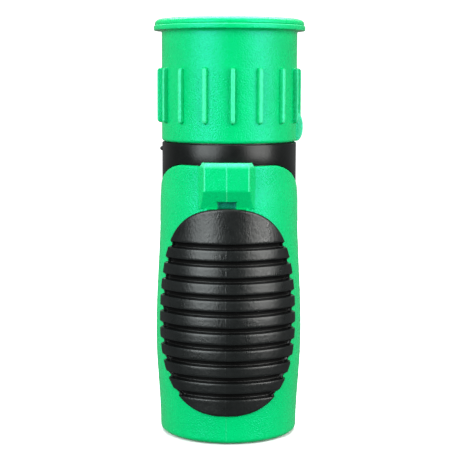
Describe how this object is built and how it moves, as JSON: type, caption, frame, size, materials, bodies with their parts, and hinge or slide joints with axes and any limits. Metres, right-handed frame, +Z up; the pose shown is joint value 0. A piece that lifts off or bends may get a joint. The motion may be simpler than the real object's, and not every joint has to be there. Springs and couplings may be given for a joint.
{
  "type": "wasp trap",
  "caption": "Hand-sized wasp trap: ribbed twist cap with a funnel mouth over a barrel-shaped catch vessel, with ribbed rubber grips and hook pockets.",
  "frame": {"origin": "on the trap's axis, at the surface it stands on", "axes": "+Z up along the trap's axis, -Y towards the front grip, +X towards the turning tab"},
  "size_m": [0.0594, 0.0606, 0.1637],
  "materials": {
    "green_plastic": "satin",
    "smoke_plastic": "satin",
    "black_plastic": "satin",
    "black_rubber": "soft satin",
    "slip_plastic": "smooth",
    "steel": "zinc plated",
    "bait_felt": "felt"
  },
  "bodies": {
    "vessel": {"outer_shell": "green_plastic", "catch_vessel": "smoke_plastic", "neck_collar": "black_plastic", "index_pin": "black_plastic", "front_grip": "black_rubber", "rear_grip": "black_rubber", "foot_ring": "black_rubber", "base_screws": "steel"},
    "head": {"throat_plate": "black_plastic", "throat_snout": "smoke_plastic", "neck_seal": "black_rubber", "slip_ring": "slip_plastic", "pivot_screw": "steel", "pivot_washer": "steel", "pivot_nut": "steel", "bait_basket": "smoke_plastic"},
    "cap": {"cap_ring": "green_plastic", "crown_dish": "green_plastic"},
    "lid": {"basket_lid": "green_plastic", "bait_pad": "bait_felt"}
  },
  "joints": [
    {"name": "cap_lift", "type": "slide", "parent": "vessel", "child": "head", "axis": [0, 0, 1], "range_m": [0, 0.06]},
    {"name": "cap_turn", "type": "hinge", "parent": "head", "child": "cap", "pos_m": [0, 0, 0.1501], "axis": [0, 0, 1], "range_deg": [0, 173]},
    {"name": "lid_pull", "type": "slide", "parent": "head", "child": "lid", "axis": [0, 0, -1], "range_m": [0, 0.045]}
  ]
}
